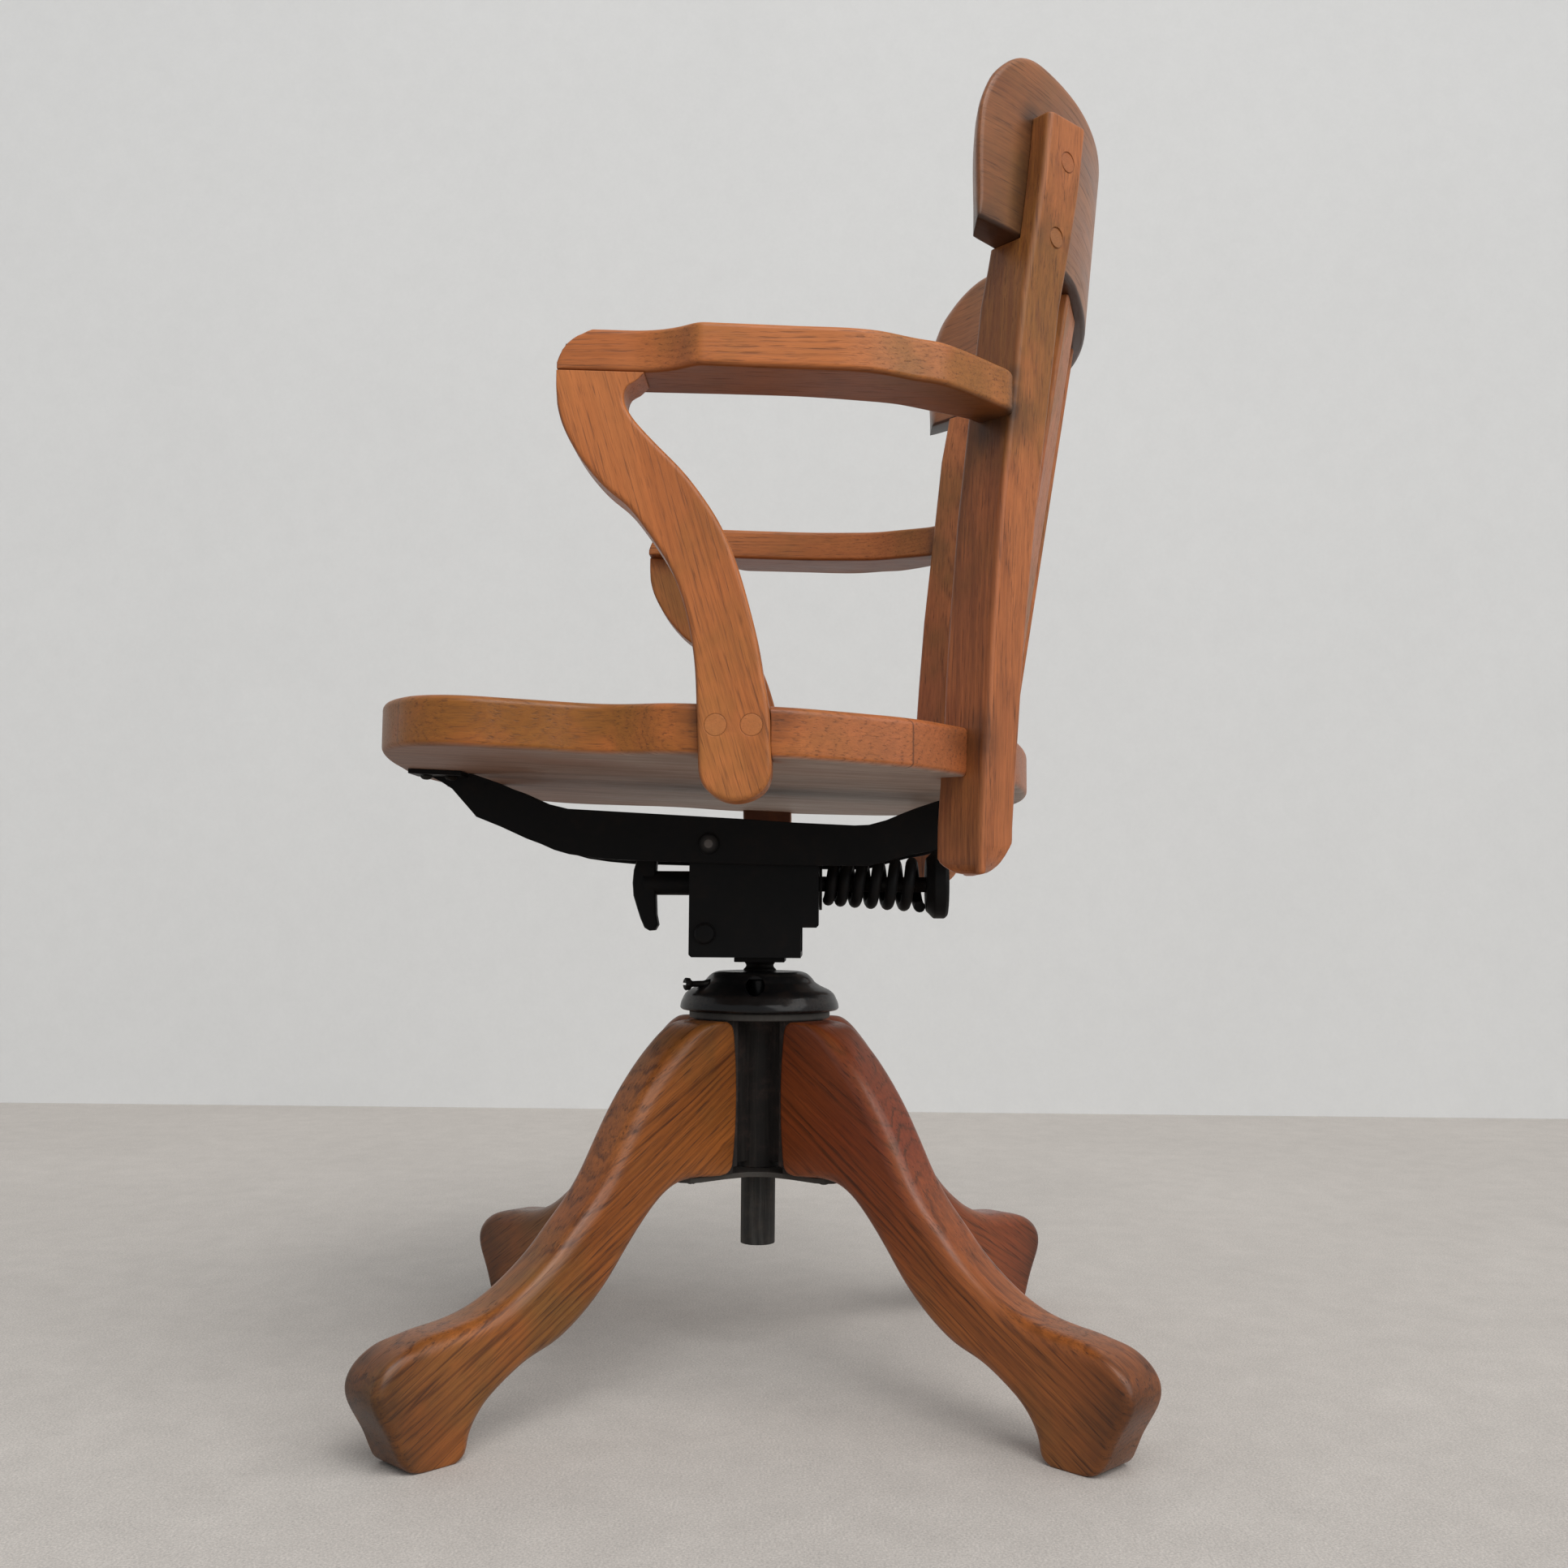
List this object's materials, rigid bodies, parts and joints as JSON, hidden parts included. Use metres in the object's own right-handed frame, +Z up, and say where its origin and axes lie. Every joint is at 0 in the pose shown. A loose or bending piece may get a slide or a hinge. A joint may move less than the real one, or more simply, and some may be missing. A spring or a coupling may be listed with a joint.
{
  "type": "bankers swivel chair",
  "caption": "Oak bankers swivel chair with arms, curved crest rail and slatted back on a tilting, height-adjustable iron mechanism and four splayed wooden legs.",
  "frame": {"origin": "centre of the bounding box on the floor, 4.7 mm in front of the swivel axis", "axes": "+Z up; +Y towards the back of the chair, so the sitter faces -Y; +X towards the sitter's left"},
  "size_m": [0.598, 0.5426, 0.9335],
  "materials": {
    "oak_seat": "varnished warm orange-brown oak, satin",
    "oak_legs": "darker varnished oak with glossy worn edges",
    "black_iron": "matte black paint",
    "hub_iron": "dark green-black, worn",
    "collar_enamel": "glossy dark brown-black enamel with a worn brim",
    "worn_steel": "dark worn steel"
  },
  "bodies": {
    "base": {"leg_front_left": "oak_legs", "leg_rear_left": "oak_legs", "leg_rear_right": "oak_legs", "leg_front_right": "oak_legs", "plate_screw_1": "worn_steel", "plate_screw_2": "worn_steel", "plate_screw_3": "worn_steel", "plate_screw_4": "worn_steel", "spider_plate": "hub_iron", "hub_column": "hub_iron", "guard_tube": "worn_steel"},
    "collar": {"dome_collar": "collar_enamel", "thrust_washer": "worn_steel", "set_screw": "worn_steel"},
    "spindle": {"spindle_screw": "worn_steel", "neck_nut": "worn_steel", "bracket_plate": "black_iron", "tilt_bracket": "black_iron", "cross_bolt": "black_iron", "cross_bolt_nut": "black_iron", "spring_washer": "black_iron", "tension_spring": "black_iron"},
    "rod": {"tension_rod": "worn_steel", "spring_end_plate": "black_iron", "rod_nut": "worn_steel"},
    "handle": {"tension_handle": "black_iron"},
    "seat": {"pivot_pin": "black_iron", "tilt_yoke": "worn_steel", "seat_board": "oak_seat", "seat_rail_left": "black_iron", "seat_rail_right": "black_iron", "arm_left": "oak_seat", "arm_right": "oak_seat", "arm_support_left": "oak_seat", "arm_support_right": "oak_seat", "back_post_left": "oak_seat", "back_post_right": "oak_seat", "crest_rail": "oak_seat", "back_slat_1": "oak_seat", "back_slat_2": "oak_seat", "back_slat_3": "oak_seat", "rail_screw_left_1": "worn_steel", "rail_screw_left_2": "worn_steel", "rail_screw_left_3": "worn_steel", "rail_screw_left_4": "worn_steel", "rail_screw_right_1": "worn_steel", "rail_screw_right_2": "worn_steel", "rail_screw_right_3": "worn_steel", "rail_screw_right_4": "worn_steel", "post_plug_left_1": "oak_seat", "post_plug_left_2": "oak_seat", "post_plug_right_1": "oak_seat", "post_plug_right_2": "oak_seat", "support_plug_left_1": "oak_seat", "support_plug_left_2": "oak_seat", "support_plug_right_1": "oak_seat", "support_plug_right_2": "oak_seat"}
  },
  "joints": [
    {"name": "seat_swivel", "type": "hinge", "parent": "base", "child": "collar", "pos_m": [0, 0.00474, 0.275], "axis": [0, 0, 1], "continuous": true},
    {"name": "seat_height", "type": "slide", "parent": "collar", "child": "spindle", "axis": [0, 0, 1], "range_m": [0, 0.09]},
    {"name": "seat_tilt", "type": "hinge", "parent": "spindle", "child": "seat", "pos_m": [0, -0.03256, 0.401], "axis": [-1, 0, 0], "range_deg": [0, 10], "stiffness_Nm_per_rad": 180, "springref_deg": -5.73},
    {"name": "rod_slide", "type": "slide", "parent": "spindle", "child": "rod", "axis": [0, -1, 0], "range_m": [0, 0.0055], "deforming": ["tension_spring"]},
    {"name": "tension_knob", "type": "hinge", "parent": "rod", "child": "handle", "pos_m": [0, -0.08526, 0.372], "axis": [0, -1, 0], "continuous": true}
  ],
  "couplings": [
    {"joint": "rod_slide", "follows": "seat_tilt", "m_per_rad": 0.0295}
  ]
}
